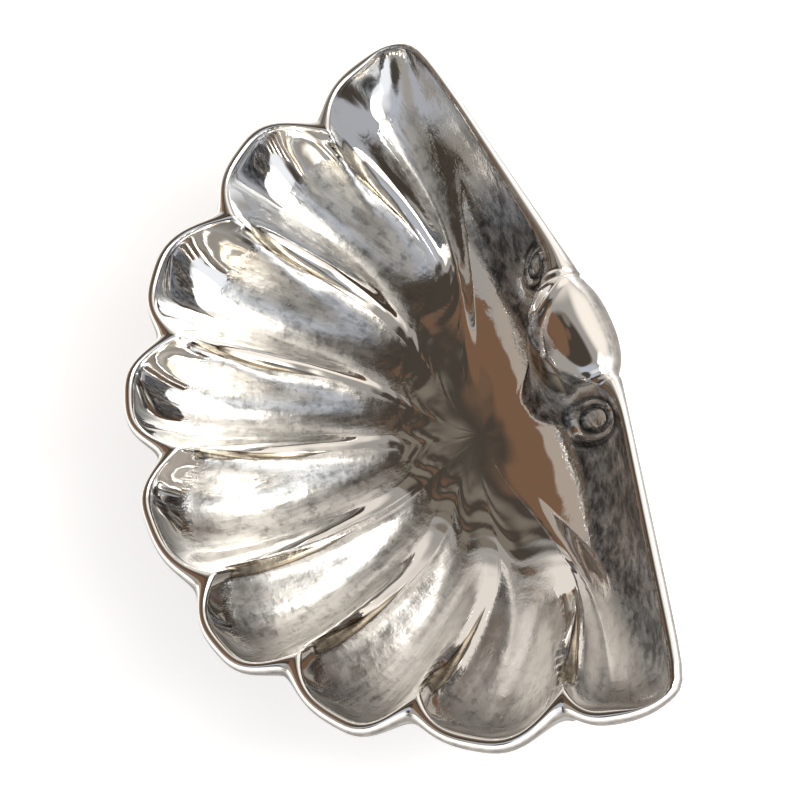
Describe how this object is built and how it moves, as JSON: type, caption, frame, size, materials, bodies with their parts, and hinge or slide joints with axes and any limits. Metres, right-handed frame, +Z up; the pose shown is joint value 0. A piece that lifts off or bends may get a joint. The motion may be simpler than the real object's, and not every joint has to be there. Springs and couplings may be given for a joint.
{
  "type": "shell serving tray",
  "caption": "Small cast pewter tray shaped like a scallop shell, with a fluted bowl, a scalloped rim, a straight hinge edge and a raised knob.",
  "frame": {"origin": "centre of the tray's bounding box in plan, on the plane of the flat foot it rests on", "axes": "+X along the straight hinge edge, +Y from the bowl towards the hinge edge and its knob, +Z up out of the bowl"},
  "size_m": [0.1474, 0.0972, 0.0315],
  "materials": {
    "pewter": "hand-polished cast pewter, bright on the rim, crests and knob, satin and mottled in the flutes"
  },
  "bodies": {
    "root": {"shell_tray": "pewter"}
  },
  "joints": []
}
